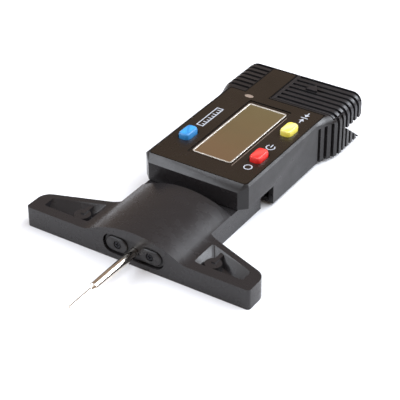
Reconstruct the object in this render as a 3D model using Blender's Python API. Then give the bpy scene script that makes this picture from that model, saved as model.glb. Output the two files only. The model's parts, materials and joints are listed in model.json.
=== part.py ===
"""Digital tyre tread depth gauge, modelled as the pieces it comes apart into.

The gauge lies flat on its underside (z = 0).  X runs across the foot, Y runs from the
probe's tip to the tail of the display module, and Z is up.  Every piece is drawn in the
datum frame, whose y = 0 is the face of the foot that presses on the tyre, and hangs from an
empty that shifts the whole gauge so that the world origin is under the middle of its box.
"""

import math

import bmesh
import bpy
from mathutils import Vector

MM = 0.001
GAP = 0.3 * MM
THIN_GAP = 0.05 * MM
OVERCUT = 1.0 * MM
ARC_STEPS = 5
CORNER_STEPS = 3
ROUND_STEPS = 24
SMALL_ROUND_STEPS = 16
HOLE_STEPS = 12
SMOOTH_ANGLE = math.radians(35.0)

# Foot: the cross bar with its two wings
WING_HALF = 36.5 * MM
WING_TOP = 6.3 * MM
WING_END_DEPTH = 8.0 * MM
WING_ROOT_DEPTH = 15.7 * MM
WING_FRONT_RADIUS = 1.0 * MM
WING_REAR_RADIUS = 4.0 * MM
POCKET_FLOOR = 3.5 * MM
POCKET_INNER = 17.4 * MM
POCKET_OUTER = 32.6 * MM
POCKET_FRONT = 3.2 * MM
POCKET_RIM = 2.0 * MM
POCKET_LEAN = 2.6 * MM
POCKET_CORNER = 0.6 * MM
BOSS_AT = (21.6 * MM, 6.3 * MM)
BOSS_RADIUS = 2.4 * MM
BOSS_TOP = 5.5 * MM
DIVIDER_WIDTH = 1.2 * MM
DIVIDER_TOP = 5.8 * MM

# Arched neck behind the foot, and the beam that the display module slides on
NECK_HALF = 14.85 * MM
NECK_CREST = 10.8 * MM
NECK_RADIUS = 29.5 * MM
NECK_STEPS = 22
NECK_END = 26.0 * MM
ROOT_FILLET = 8.0 * MM
SHOULDER_TOP = 6.6 * MM
SHOULDER_END = 42.0 * MM
BEAM_HALF = 11.0 * MM
BEAM_BOTTOM = 2.6 * MM
BEAM_TOP = 6.3 * MM
BEAM_END = 82.0 * MM
CHANNEL_HALF = 4.2 * MM
CHANNEL_TOP = 5.6 * MM
CHANNEL_START = 5.2 * MM
RELIEF_INNER = 5.6 * MM
RELIEF_OUTER = 11.6 * MM
RELIEF_TOP = 6.8 * MM
RELIEF_END = 24.0 * MM
SCALE_HALF = 7.5 * MM
SCALE_THICK = 0.25 * MM

# Probe and the plug that guides it in the foot's face
PROBE_Z = 4.2 * MM
PROBE_RADIUS = 1.3 * MM
PROBE_REACH = 28.5 * MM
PROBE_SHOULDER = 18.0 * MM
PROBE_TAIL = 54.0 * MM
NEEDLE_RADIUS = 0.45 * MM
BUSH_RADIUS = 1.39 * MM
PLUG_Z = 4.8 * MM
PLUG_HALF = 9.7 * MM
PLUG_RADIUS = 2.8 * MM
PLUG_DEPTH = 3.0 * MM
PLUG_SUNK = 0.7 * MM
PAD_CENTRE = 5.6 * MM
PAD_HALF = 3.5 * MM
PAD_RADIUS = 2.2 * MM
PAD_FACE = 0.1 * MM
PAD_EDGE = 0.25 * MM
PLUG_SCREW_X = 5.3 * MM
PLUG_SCREW_HEAD_Y = 0.2 * MM
PLUG_SCREW_TIP = 4.3 * MM
NEEDLE_TAPER = 0.9 * MM

# Screws: (head radius, shank radius), and how much wider their holes are
SCREW_HEAD_HEIGHT = 0.6 * MM
PLUG_SCREW = (0.95 * MM, 0.55 * MM)
COVER_SCREW = (1.1 * MM, 0.6 * MM)
SCREW_PLAY = 0.25 * MM
COVER_SCREW_HEAD_Z = 1.1 * MM

# Carrier that ties the probe to the display module
CARRIER_HALF = 3.6 * MM
CARRIER_FRONT = 48.0 * MM
CARRIER_REAR = 58.5 * MM
CARRIER_TOP = 5.3 * MM
CRADLE_HALF = 1.4 * MM
CARRIER_SCREW_AT = (0.0, 56.4 * MM)
CARRIER_SCREW_TIP = 4.4 * MM

# Display module: outer form
MODULE_FRONT = 29.1 * MM
MODULE_REAR = 94.5 * MM
MODULE_HALF = 17.2 * MM
MODULE_TOP = 14.6 * MM
MODULE_BOTTOM = 0.9 * MM
MODULE_CORNER = 2.3 * MM
FRONT_CHAMFER = 2.0 * MM
SIDE_CHAMFER = 0.6 * MM
FRONT_TOP_HALF = 15.8 * MM
TAIL_ROUND = 3.2 * MM
REAR_ROUND = 1.0 * MM
GRIP_HALF = 20.2 * MM
GRIP_STEPS = 10
GRIP_START = 69.5 * MM
GRIP_FULL = 79.5 * MM
TAIL_CORNER = 2.5 * MM
SKIRT_FRONT = 45.0 * MM
FRONT_WALL_BOTTOM = 6.9 * MM
MOUTH_APEX = (83.0 * MM, 7.9 * MM)
MOUTH_ROOF = 7.3 * MM
MOUTH_TIP = 91.6 * MM

# Display module: inside
WALL = 1.6 * MM
ROOF_UNDER = 13.0 * MM
BAY_REAR = 76.3 * MM
RAIL_INNER = 11.3 * MM
GIB_RAIL_INNER = 11.9 * MM
RAIL_FRONT = 46.5 * MM
RAIL_REAR = 80.5 * MM
RAIL_TOP = 7.0 * MM
COVER_TOP = 2.3 * MM
COVER_REAR = 88.0 * MM
COVER_SCREW_X = 13.6 * MM
COVER_SCREW_YS = (50.0 * MM, 77.0 * MM)
COVER_SCREW_TIP = 6.0 * MM
BOARD_HALF = 15.2 * MM
BOARD_LENGTH = (31.4 * MM, 75.9 * MM)
BOARD_BOTTOM = 7.3 * MM
BOARD_TOP = 8.3 * MM
CHIP_AT = (0.0, 54.0 * MM)
CHIP_RADIUS = 4.2 * MM
CHIP_HEIGHT = 1.1 * MM
CRYSTAL_X = 4.0 * MM
CRYSTAL_LENGTH = (62.5 * MM, 68.6 * MM)
CRYSTAL_RADIUS = 1.0 * MM
CELL_AT = (7.6 * MM, 85.4 * MM)
CELL_RADIUS = 5.8 * MM
CELL_BOTTOM = 8.15 * MM
CELL_TOP = 13.5 * MM
CELL_CAP_RADIUS = 4.9 * MM
CELL_CAP_RISE = 0.4 * MM
CELL_EDGE = 0.4 * MM
CELL_STEPS = 32
CELL_FLOOR = 7.9 * MM
STRIP_PAD = 2.8 * MM
STRIP_ACROSS = (5.2 * MM, 9.8 * MM)
STRIP_REAR = 90.0 * MM
STRIP_THICK = 0.13 * MM
LEAF_PLAY = 0.25 * MM
LEAF_BOW = 0.2 * MM
LEAF_THICK = 0.2 * MM
LEAF_FRONT = 74.5 * MM
LEAF_REAR = 91.0 * MM
LEAF_HEIGHT = (9.0 * MM, 12.0 * MM)
GIB_PLAY = 0.12 * MM
GIB_THICK = 0.2 * MM
GIB_LENGTH = (52.0 * MM, 76.0 * MM)
GIB_HEIGHT = (3.1 * MM, 5.9 * MM)
GIB_STEPS = 8
FRONT_WALL = 1.8 * MM
CELL_BAY_WALL = 1.4 * MM
CELL_BAY_LEFT = -2.0 * MM
CELL_BAY_RIGHT = 16.2 * MM
CELL_BAY_FRONT = 77.9 * MM
CELL_BAY_REAR = 92.8 * MM
STRIP_SLOT_ACROSS = (4.5 * MM, 10.5 * MM)
STRIP_SLOT_TOP = 9.2 * MM
LEAF_SLOT_ACROSS = (13.3 * MM, 14.5 * MM)
LEAF_SLOT_HEIGHT = (8.7 * MM, 12.4 * MM)

# Top face: window, buttons and printed overlay
WINDOW_HALF = 7.3 * MM
WINDOW_FRONT = 37.5 * MM
WINDOW_REAR = 72.3 * MM
OVERLAY_SEAT = 14.15 * MM
OVERLAY_THICK = 0.35 * MM
OVERLAY_REAR = 75.8 * MM
OVERLAY_MARGIN = 0.35 * MM
OVERLAY_FRONT_CORNER = 1.2 * MM
OVERLAY_CORNER = 0.4 * MM
TONGUE_REAR = 92.9 * MM
BUTTON_X = 12.0 * MM
BUTTONS = {
    "unit": (-BUTTON_X, 45.4 * MM),
    "power": (BUTTON_X, 45.4 * MM),
    "zero": (BUTTON_X, 62.4 * MM),
}
BUTTON_HALF = (1.85 * MM, 3.05 * MM)
BUTTON_TOP = 16.2 * MM
BUTTON_ROUNDNESS = 0.7
BUTTON_CROWN = 0.7 * MM
BUTTON_FLANGE_HALF = (2.6 * MM, 4.0 * MM)
BUTTON_FLANGE = (11.8 * MM, 12.7 * MM)
BUTTON_STEM_RADIUS = 1.2 * MM
BUTTON_STEM_BOTTOM = 10.1 * MM
SWITCH_HALF = 2.1 * MM
SWITCH_TOP = 9.3 * MM
WINDOW_CORNER = 0.8 * MM
WINDOW_INSET = 0.2 * MM
WINDOW_PLATE = (13.1 * MM, 14.3 * MM)
LCD_HALF = 9.0 * MM
LCD_LENGTH = (38.3 * MM, 71.7 * MM)
LCD_PANEL = (11.3 * MM, 12.8 * MM)
ZEBRA_ACROSS = (7.4 * MM, 8.8 * MM)
ZEBRA_LENGTH = (40.0 * MM, 70.0 * MM)
ZEBRA_TOP = 11.2 * MM

# Battery cover and the grip grooves
LID_LEFT = -2.4 * MM
LID_FRONT = 77.0 * MM
LID_UNDER = 13.65 * MM
LID_SIDE_INNER = 17.9 * MM
LID_SIDE_FRONT = 82.7 * MM
LID_SIDE_BOTTOM = 7.7 * MM
GROOVE_START = 70.6 * MM
GROOVE_PITCH = 2.4 * MM
GROOVE_WIDTH = 1.1 * MM
GROOVE_DEPTH_TOP = 0.65 * MM
GROOVE_DEPTH_SIDE = 0.9 * MM
GROOVE_COUNT = 10
TOP_GROOVE_FIRST = 3
SIDE_GROOVE_TOP = 12.6 * MM
LEFT_GROOVE_END = 11.4 * MM
LID_GROOVE_MARGIN = 1.0 * MM
ARROW_BASE = (4.0 * MM, 8.0 * MM, 86.3 * MM)
ARROW_POINT = (6.0 * MM, 89.7 * MM)
ARROW_RISE = 0.75 * MM
ARROW_ROOT = 0.1 * MM

ORIGIN_SHIFT = -(MODULE_REAR - PROBE_REACH) / 2.0

COLOURS = {
    "black_moulding": ((0.030, 0.029, 0.031), 0.42, 0.0),
    "grip_moulding": ((0.036, 0.035, 0.037), 0.48, 0.0),
    "overlay_film": ((0.028, 0.020, 0.014), 0.22, 0.0),
    "window_acrylic": ((0.36, 0.29, 0.16), 0.08, 0.0),
    "display_glass": ((0.30, 0.27, 0.15), 0.12, 0.0),
    "unit_blue": ((0.02, 0.22, 0.72), 0.35, 0.0),
    "power_red": ((0.80, 0.04, 0.04), 0.35, 0.0),
    "zero_yellow": ((0.88, 0.80, 0.12), 0.35, 0.0),
    "probe_steel": ((0.82, 0.80, 0.76), 0.12, 1.0),
    "screw_steel": ((0.30, 0.30, 0.31), 0.30, 1.0),
    "spring_bronze": ((0.72, 0.52, 0.28), 0.30, 1.0),
    "contact_nickel": ((0.74, 0.73, 0.70), 0.25, 1.0),
    "cell_steel": ((0.78, 0.78, 0.77), 0.22, 1.0),
    "board_laminate": ((0.02, 0.16, 0.07), 0.45, 0.0),
    "scale_copper": ((0.62, 0.36, 0.18), 0.35, 0.8),
    "chip_epoxy": ((0.012, 0.012, 0.013), 0.30, 0.0),
    "switch_plastic": ((0.10, 0.10, 0.10), 0.50, 0.0),
    "zebra_rubber": ((0.40, 0.40, 0.42), 0.70, 0.0),
    "carrier_nylon": ((0.55, 0.54, 0.50), 0.50, 0.0),
}


def clear_scene():
    for item in list(bpy.data.objects):
        bpy.data.objects.remove(item, do_unlink=True)


def make_material(name):
    colour, roughness, metallic = COLOURS[name]
    material = bpy.data.materials.new(name)
    material.use_nodes = True
    shader = material.node_tree.nodes["Principled BSDF"]
    shader.inputs["Base Color"].default_value = (*colour, 1.0)
    shader.inputs["Roughness"].default_value = roughness
    shader.inputs["Metallic"].default_value = metallic
    material.diffuse_color = (*colour, 1.0)
    return material


def make_empty(name, parent, at):
    empty = bpy.data.objects.new(name, None)
    bpy.context.scene.collection.objects.link(empty)
    empty.parent = parent
    empty.location = at
    return empty


# Outlines


def corner_arc(before, corner, after, radius, steps=ARC_STEPS):
    """Points of the fillet of this radius at a corner of an outline."""
    corner = Vector(corner)
    to_before = (Vector(before) - corner).normalized()
    to_after = (Vector(after) - corner).normalized()
    half = to_before.angle(to_after) / 2.0
    reach = radius / math.tan(half)
    centre = corner + (to_before + to_after).normalized() * (radius / math.sin(half))
    first = corner + to_before * reach - centre
    last = corner + to_after * reach - centre
    turn = first.angle_signed(last)
    points = []
    for step in range(steps + 1):
        angle = -turn * step / steps
        spun = Vector((first.x * math.cos(angle) - first.y * math.sin(angle),
                       first.x * math.sin(angle) + first.y * math.cos(angle)))
        points.append(tuple(centre + spun))
    return points


def filleted(corners, steps=ARC_STEPS):
    """Outline through (a, b, radius) corners, each rounded to its radius."""
    points = []
    count = len(corners)
    for index, (a, b, radius) in enumerate(corners):
        if radius <= 0.0:
            points.append((a, b))
            continue
        before = corners[index - 1][:2]
        after = corners[(index + 1) % count][:2]
        points.extend(corner_arc(before, (a, b), after, radius, steps))
    return points


def slot_outline(centre, half_length, radius):
    """A slot along the first axis with full round ends."""
    a, b = centre
    return filleted([(a - half_length, b - radius, radius * 0.98),
                     (a + half_length, b - radius, radius * 0.98),
                     (a + half_length, b + radius, radius * 0.98),
                     (a - half_length, b + radius, radius * 0.98)])


def circle_outline(centre, radius, steps=ROUND_STEPS):
    a, b = centre
    turns = [2.0 * math.pi * step / steps for step in range(steps)]
    return [(a + radius * math.cos(turn), b + radius * math.sin(turn)) for turn in turns]


def mirrored(points):
    """The outline on the other side of x = 0."""
    return [(-point[0], *point[1:]) for point in reversed(points)]


# Solids, each one closed bmesh


AXIS_PLACERS = {
    "X": lambda a, b, along: (along, a, b),
    "Y": lambda a, b, along: (a, along, b),
    "Z": lambda a, b, along: (a, b, along),
}


def prism(outline, axis, low, high):
    """The outline extruded along an axis; it lies in the other two axes, in X, Y, Z order."""
    place = AXIS_PLACERS[axis]
    body = bmesh.new()
    face = body.faces.new([body.verts.new(place(a, b, low)) for a, b in outline])
    grown = bmesh.ops.extrude_face_region(body, geom=[face])
    moved = [item for item in grown["geom"] if isinstance(item, bmesh.types.BMVert)]
    bmesh.ops.translate(body, verts=moved, vec=Vector(place(0.0, 0.0, high - low)))
    bmesh.ops.recalc_face_normals(body, faces=body.faces)
    return body


def both_sides(half):
    """The (low, high) pair that reaches as far to either side of the middle."""
    return -half, half


def block(x, y, z):
    """A box between (low, high) pairs."""
    outline = [(x[0], y[0]), (x[1], y[0]), (x[1], y[1]), (x[0], y[1])]
    return prism(outline, "Z", *z)


def soften(body, axis_index, levels, width, segments=2):
    """Rounds the rim edges that lie wholly at the given levels of one axis."""
    rims = []
    for edge in body.edges:
        places = [vert.co[axis_index] for vert in edge.verts]
        if any(all(abs(place - level) < 1e-7 for place in places) for level in levels):
            rims.append(edge)
    bmesh.ops.bevel(body, geom=rims, offset=width, segments=segments, profile=0.5,
                    affect="EDGES", clamp_overlap=True)
    return body


def lofted(rings):
    """A solid through closed rings of points, each ring with as many points as the last."""
    body = bmesh.new()
    loops = [[body.verts.new(point) for point in ring] for ring in rings]
    count = len(rings[0])
    for lower, upper in zip(loops, loops[1:]):
        for step in range(count):
            after = (step + 1) % count
            body.faces.new((lower[step], lower[after], upper[after], upper[step]))
    body.faces.new(reversed(loops[0]))
    body.faces.new(loops[-1])
    bmesh.ops.triangulate(body, faces=body.faces)
    bmesh.ops.recalc_face_normals(body, faces=body.faces)
    return body


def turned(profile, axis, centre, steps=ROUND_STEPS):
    """A solid of revolution from (along, radius) points, the first and last on the axis."""
    place = AXIS_PLACERS[axis]
    body = bmesh.new()
    rings = []
    for along, radius in profile:
        if radius == 0.0:
            rings.append([body.verts.new(place(centre[0], centre[1], along))])
            continue
        ring = circle_outline(centre, radius, steps)
        rings.append([body.verts.new(place(a, b, along)) for a, b in ring])
    for lower, upper in zip(rings, rings[1:]):
        for step in range(steps):
            after = (step + 1) % steps
            quad = [lower[step % len(lower)], lower[after % len(lower)],
                    upper[after % len(upper)], upper[step % len(upper)]]
            body.faces.new(dict.fromkeys(quad))
    bmesh.ops.recalc_face_normals(body, faces=body.faces)
    return body


# Objects


class Workshop:
    """Puts solids into the scene under the datum empty, with materials and Booleans."""

    def __init__(self):
        self.datum = make_empty("datum", None, (0.0, ORIGIN_SHIFT, 0.0))
        self.slide = make_empty("module_slide", self.datum, (0.0, 0.0, PROBE_Z))
        self.materials = {name: make_material(name) for name in COLOURS}

    def put(self, name, body, at, moving=True):
        """Makes an object of a solid drawn in the datum frame, with its own origin."""
        parent = self.slide if moving else self.datum
        base = Vector((0.0, 0.0, PROBE_Z)) if moving else Vector()
        bmesh.ops.translate(body, verts=body.verts, vec=-Vector(at))
        mesh = bpy.data.meshes.new(name)
        body.to_mesh(mesh)
        body.free()
        thing = bpy.data.objects.new(name, mesh)
        bpy.context.scene.collection.objects.link(thing)
        thing.parent = parent
        thing.location = Vector(at) - base
        return thing

    def piece(self, name, material, body, at, moving=True):
        thing = self.put(name, body, at, moving)
        thing.data.materials.append(self.materials[material])
        thing.data.shade_smooth()
        thing.data.set_sharp_from_angle(angle=SMOOTH_ANGLE)
        return thing

    def combine(self, target, operation, label, body, moving=True):
        """Adds a Boolean with a hidden tool solid to a piece."""
        tool = self.put(f"{target.name}_{label}", body, (0.0, 0.0, 0.0), moving)
        tool.hide_render = True
        tool.display_type = "WIRE"
        boolean = target.modifiers.new(label, "BOOLEAN")
        boolean.operation = operation
        boolean.solver = "EXACT"
        boolean.object = tool
        return tool

    def cut(self, target, label, body, moving=True):
        self.combine(target, "DIFFERENCE", label, body, moving)

    def join(self, target, label, body, moving=True):
        self.combine(target, "UNION", label, body, moving)


# Foot, neck and beam: one moulding


def wing_rear_at(x):
    """y of the wing's sloping rear edge at a distance x from the middle."""
    share = (x - NECK_HALF) / (WING_HALF - NECK_HALF)
    return WING_ROOT_DEPTH + share * (WING_END_DEPTH - WING_ROOT_DEPTH)


def foot_plan():
    """Plan (x, y) of the foot with its wings and of the neck behind it."""
    right = [(WING_HALF, 0.0, WING_FRONT_RADIUS), (WING_HALF, WING_END_DEPTH, WING_REAR_RADIUS),
             (NECK_HALF, WING_ROOT_DEPTH, 0.0), (NECK_HALF, NECK_END, 0.0)]
    return filleted(right + mirrored(right))


def foot_profile():
    """Front view (x, z) of foot and neck: wing tops, root fillets and the neck's wide arc."""
    fillet_z = WING_TOP + ROOT_FILLET
    arc_z = NECK_CREST - NECK_RADIUS
    centres_apart = NECK_RADIUS + ROOT_FILLET
    fillet_x = math.sqrt(centres_apart ** 2 - (fillet_z - arc_z) ** 2)
    meeting = math.asin(fillet_x / centres_apart)
    far = WING_HALF + OVERCUT
    right = [(far, 0.0), (far, WING_TOP)]
    for step in range(ARC_STEPS + 1):
        angle = meeting * step / ARC_STEPS
        right.append((fillet_x - ROOT_FILLET * math.sin(angle), fillet_z - ROOT_FILLET * math.cos(angle)))
    crest = []
    for step in range(1, NECK_STEPS):
        angle = meeting * (1.0 - 2.0 * step / NECK_STEPS)
        crest.append((NECK_RADIUS * math.sin(angle), arc_z + NECK_RADIUS * math.cos(angle)))
    return right + crest + mirrored(right)


def wing_pocket_outline(lean):
    """Plan of a wing's pocket, with its inner and rear sides moved in by the lean."""
    inner = POCKET_INNER + lean
    rim = POCKET_RIM + lean
    return filleted([
        (inner, POCKET_FRONT, POCKET_CORNER), (POCKET_OUTER, POCKET_FRONT, POCKET_CORNER),
        (POCKET_OUTER, wing_rear_at(POCKET_OUTER) - rim, POCKET_CORNER),
        (inner, wing_rear_at(inner) - rim, POCKET_CORNER)], CORNER_STEPS)


def wing_pocket_rings(turn):
    """The pocket's outlines from its floor to above the wing; its two walls at the back lean."""
    levels = ((POCKET_LEAN, POCKET_FLOOR), (0.0, WING_TOP), (0.0, WING_TOP + OVERCUT))
    return [[(x, y, z) for x, y in turn(wing_pocket_outline(lean))] for lean, z in levels]


def add_wing_details(shop, frame):
    boss_x, boss_y = BOSS_AT
    boss = circle_outline(BOSS_AT, BOSS_RADIUS, SMALL_ROUND_STEPS)
    divider_rear = wing_rear_at(boss_x) - POCKET_RIM / 2.0
    inner = boss_x - DIVIDER_WIDTH / 2.0
    outer = boss_x + DIVIDER_WIDTH / 2.0
    divider = [(inner, boss_y), (outer, boss_y), (outer, divider_rear), (inner, divider_rear)]
    under = POCKET_FLOOR - OVERCUT
    for side, turn in (("left", mirrored), ("right", list)):
        shop.cut(frame, f"pocket_{side}", lofted(wing_pocket_rings(turn)), False)
        shop.join(frame, f"boss_{side}", prism(turn(boss), "Z", under, BOSS_TOP), False)
        shop.join(frame, f"divider_{side}", prism(turn(divider), "Z", under, DIVIDER_TOP), False)


def make_base_frame(shop):
    along = (-OVERCUT, NECK_END + OVERCUT)
    body = prism(foot_profile(), "Y", *along)
    frame = shop.piece("base_frame", "black_moulding", body, (0.0, 0.0, 0.0), False)
    plan = prism(foot_plan(), "Z", 0.0, NECK_CREST + OVERCUT)
    shop.combine(frame, "INTERSECT", "plan", plan, False)
    shop.join(frame, "shoulder",
              block(both_sides(NECK_HALF), (RELIEF_END - OVERCUT, SHOULDER_END), (0.0, SHOULDER_TOP)),
              False)
    shop.join(frame, "beam",
              block(both_sides(BEAM_HALF), (SHOULDER_END - OVERCUT, BEAM_END), (BEAM_BOTTOM, BEAM_TOP)),
              False)
    shop.cut(frame, "channel",
             block(both_sides(CHANNEL_HALF), (CHANNEL_START, BEAM_END + OVERCUT), (-OVERCUT, CHANNEL_TOP)),
             False)
    for side, sign in (("left", -1.0), ("right", 1.0)):
        across = sorted((sign * RELIEF_INNER, sign * RELIEF_OUTER))
        shop.cut(frame, f"relief_{side}",
                 block(across, (CHANNEL_START, RELIEF_END), (-OVERCUT, RELIEF_TOP)), False)
    seat = slot_outline((0.0, PLUG_Z), PLUG_HALF + GAP, PLUG_RADIUS + GAP)
    shop.cut(frame, "plug_seat", prism(seat, "Y", -OVERCUT, PLUG_DEPTH + GAP), False)
    shop.cut(frame, "probe_way",
             prism(circle_outline((0.0, PROBE_Z), PROBE_RADIUS + 2.0 * GAP), "Y",
                   PLUG_DEPTH - OVERCUT, CHANNEL_START + OVERCUT), False)
    for side, sign in (("left", -1.0), ("right", 1.0)):
        hole = circle_outline((sign * PLUG_SCREW_X, PLUG_Z), PLUG_SCREW[1] + SCREW_PLAY, HOLE_STEPS)
        depth = (PLUG_DEPTH - OVERCUT, PLUG_SCREW_TIP + GAP)
        shop.cut(frame, f"screw_hole_{side}", prism(hole, "Y", *depth), False)
    add_wing_details(shop, frame)


def make_scale_strip(shop):
    low = BEAM_TOP + THIN_GAP
    shop.piece("scale_strip", "scale_copper",
               block(both_sides(SCALE_HALF), (SHOULDER_END + MM, BEAM_END - MM), (low, low + SCALE_THICK)),
               (0.0, SHOULDER_END, low), False)


# Plug, its screws, and the probe


def make_front_plug(shop):
    at = (0.0, 0.0, PLUG_Z)
    outline = slot_outline((0.0, PLUG_Z), PLUG_HALF, PLUG_RADIUS)
    plug = shop.piece("front_plug", "black_moulding",
                      prism(outline, "Y", PLUG_SUNK, PLUG_DEPTH), at, False)
    for side, sign in (("left", -1.0), ("right", 1.0)):
        outline = slot_outline((sign * PAD_CENTRE, PLUG_Z), PAD_HALF, PAD_RADIUS)
        pad = soften(prism(outline, "Y", PAD_FACE, PLUG_DEPTH - OVERCUT), 1, (PAD_FACE,), PAD_EDGE, 1)
        shop.join(plug, f"pad_{side}", pad, False)
    bush = circle_outline((0.0, PROBE_Z), BUSH_RADIUS)
    shop.cut(plug, "bush", prism(bush, "Y", -OVERCUT, PLUG_DEPTH + OVERCUT), False)
    for side, sign in (("left", -1.0), ("right", 1.0)):
        centre = (sign * PLUG_SCREW_X, PLUG_Z)
        seat = PLUG_SCREW_HEAD_Y + SCREW_HEAD_HEIGHT + THIN_GAP
        way = screw_way("Y", centre, -OVERCUT, seat, PLUG_DEPTH + OVERCUT, PLUG_SCREW)
        shop.cut(plug, f"screw_way_{side}", way, False)


def screw_body(axis, centre, head, tip, radii):
    """A cylinder-head screw from the face of its head to its tip."""
    way = 1.0 if tip > head else -1.0
    head_radius, shank_radius = radii
    under = head + way * SCREW_HEAD_HEIGHT
    return turned([(head, 0.0), (head, head_radius), (under, head_radius), (under, shank_radius),
                   (tip - way * shank_radius, shank_radius), (tip, 0.0)], axis, centre, SMALL_ROUND_STEPS)


def screw_way(axis, centre, mouth, seat, end, radii):
    """The stepped hole for such a screw, with its head's seat at the given level."""
    wide = radii[0] + SCREW_PLAY
    narrow = radii[1] + SCREW_PLAY
    return turned([(mouth, 0.0), (mouth, wide), (seat, wide), (seat, narrow), (end, narrow), (end, 0.0)],
                  axis, centre, SMALL_ROUND_STEPS)


def make_plug_screws(shop):
    for side, sign in (("left", -1.0), ("right", 1.0)):
        centre = (sign * PLUG_SCREW_X, PLUG_Z)
        body = screw_body("Y", centre, PLUG_SCREW_HEAD_Y, PLUG_SCREW_TIP, PLUG_SCREW)
        shop.piece(f"plug_screw_{side}", "screw_steel", body, (centre[0], 0.0, centre[1]), False)


def make_probe(shop):
    """A stout stem with a thin needle, whose end is a small blunt cone."""
    tip = -PROBE_REACH
    shoulder = -PROBE_SHOULDER
    edge = 0.15 * MM
    profile = [(tip, 0.0), (tip + edge, 0.6 * NEEDLE_RADIUS), (tip + NEEDLE_RADIUS, NEEDLE_RADIUS),
               (shoulder - NEEDLE_TAPER, NEEDLE_RADIUS), (shoulder - edge, 0.85 * PROBE_RADIUS),
               (shoulder + edge, PROBE_RADIUS), (PROBE_TAIL, PROBE_RADIUS), (PROBE_TAIL, 0.0)]
    shop.piece("probe", "probe_steel", turned(profile, "Y", (0.0, PROBE_Z)), (0.0, tip, PROBE_Z))


def make_probe_carrier(shop):
    low = COVER_TOP + THIN_GAP
    body = block(both_sides(CARRIER_HALF), (CARRIER_FRONT, CARRIER_REAR), (low, CARRIER_TOP))
    carrier = shop.piece("probe_carrier", "carrier_nylon", body, (0.0, CARRIER_FRONT, low))
    shop.cut(carrier, "cradle",
             block(both_sides(CRADLE_HALF), (CARRIER_FRONT - OVERCUT, PROBE_TAIL + GAP),
                   (PROBE_Z - CRADLE_HALF, CARRIER_TOP + OVERCUT)))
    hole = circle_outline(CARRIER_SCREW_AT, COVER_SCREW[1] + SCREW_PLAY, HOLE_STEPS)
    shop.cut(carrier, "screw_way", prism(hole, "Z", low - OVERCUT, CARRIER_SCREW_TIP + GAP))
    screw = screw_body("Z", CARRIER_SCREW_AT, COVER_SCREW_HEAD_Z, CARRIER_SCREW_TIP, COVER_SCREW)
    shop.piece("carrier_screw", "screw_steel", screw, (*CARRIER_SCREW_AT, COVER_SCREW_HEAD_Z))


# Display module: housing


def smooth_share(value, start, end):
    share = min(max((value - start) / (end - start), 0.0), 1.0)
    return share * share * (3.0 - 2.0 * share)


def grip_half_at(y):
    """Half width of the module where its sides flare out into the grip."""
    return MODULE_HALF + (GRIP_HALF - MODULE_HALF) * smooth_share(y, GRIP_START, GRIP_FULL)


def module_side():
    """Right-hand plan of the module, front to rear: (x, y, top x, top y, edge depth, roundness).

    Each point gives where the side stands, where it meets the top face, how deep the edge
    between them is, and whether that edge is a flat chamfer (0) or a quarter round (1).
    """
    side_top = MODULE_HALF - SIDE_CHAMFER
    corner_top = MODULE_FRONT + FRONT_CHAMFER + side_top - FRONT_TOP_HALF
    points = [(MODULE_HALF - MODULE_CORNER, MODULE_FRONT,
               FRONT_TOP_HALF, MODULE_FRONT + FRONT_CHAMFER, FRONT_CHAMFER, 0.0),
              (MODULE_HALF, MODULE_FRONT + MODULE_CORNER, side_top, corner_top, SIDE_CHAMFER, 0.0)]
    for step in range(GRIP_STEPS + 1):
        y = GRIP_START + (GRIP_FULL - GRIP_START) * step / GRIP_STEPS
        share = smooth_share(y, GRIP_START, GRIP_FULL)
        depth = SIDE_CHAMFER + (TAIL_ROUND - SIDE_CHAMFER) * share
        points.append((grip_half_at(y), y, grip_half_at(y) - depth, y, depth, share))
    corner = corner_arc((GRIP_HALF, GRIP_FULL), (GRIP_HALF, MODULE_REAR), (0.0, MODULE_REAR), TAIL_CORNER)
    for x, y in corner:
        back = (y - (MODULE_REAR - TAIL_CORNER)) / TAIL_CORNER
        points.append((x, y, x - TAIL_ROUND * (1.0 - 0.4 * back), y - REAR_ROUND * back, TAIL_ROUND, 1.0))
    return points


def module_body():
    """The module's outer form, lofted from its plan at the bottom to its plan at the top."""
    side = module_side()
    other = [(-x, y, -top_x, top_y, depth, share) for x, y, top_x, top_y, depth, share in reversed(side)]
    plan = side + other
    rings = [[(point[0], point[1], MODULE_BOTTOM) for point in plan]]
    for level in range(ARC_STEPS + 1):
        angle = math.pi / 2.0 * level / ARC_STEPS
        ring = []
        for x, y, top_x, top_y, depth, share in plan:
            inward = share * (1.0 - math.cos(angle)) + (1.0 - share) * level / ARC_STEPS
            rise = share * math.sin(angle) + (1.0 - share) * level / ARC_STEPS
            z = MODULE_TOP - depth * (1.0 - rise)
            ring.append((x + (top_x - x) * inward, y + (top_y - y) * inward, z))
        rings.append(ring)
    return lofted(rings)


def lid_top_room(grow):
    """The room that the battery cover takes in the module's top, grown by a gap."""
    return block((LID_LEFT - grow, GRIP_HALF + OVERCUT), (LID_FRONT - grow, MODULE_REAR + OVERCUT),
                 (LID_UNDER - grow, MODULE_TOP + OVERCUT))


def lid_side_room(grow):
    """The room that the cover's lip takes in the module's right side."""
    return block((LID_SIDE_INNER - grow, GRIP_HALF + OVERCUT),
                 (LID_SIDE_FRONT - grow, MODULE_REAR + OVERCUT),
                 (LID_SIDE_BOTTOM - grow, LID_UNDER + GAP))


def bay_outline():
    """Plan of the electronics bay, which runs back on the left beside the battery bay."""
    inner = MODULE_HALF - WALL
    front = MODULE_FRONT + FRONT_WALL
    left = CELL_BAY_LEFT - CELL_BAY_WALL
    return [(-inner, front), (inner, front), (inner, BAY_REAR),
            (left, BAY_REAR), (left, CELL_BAY_REAR), (-inner, CELL_BAY_REAR)]


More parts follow.
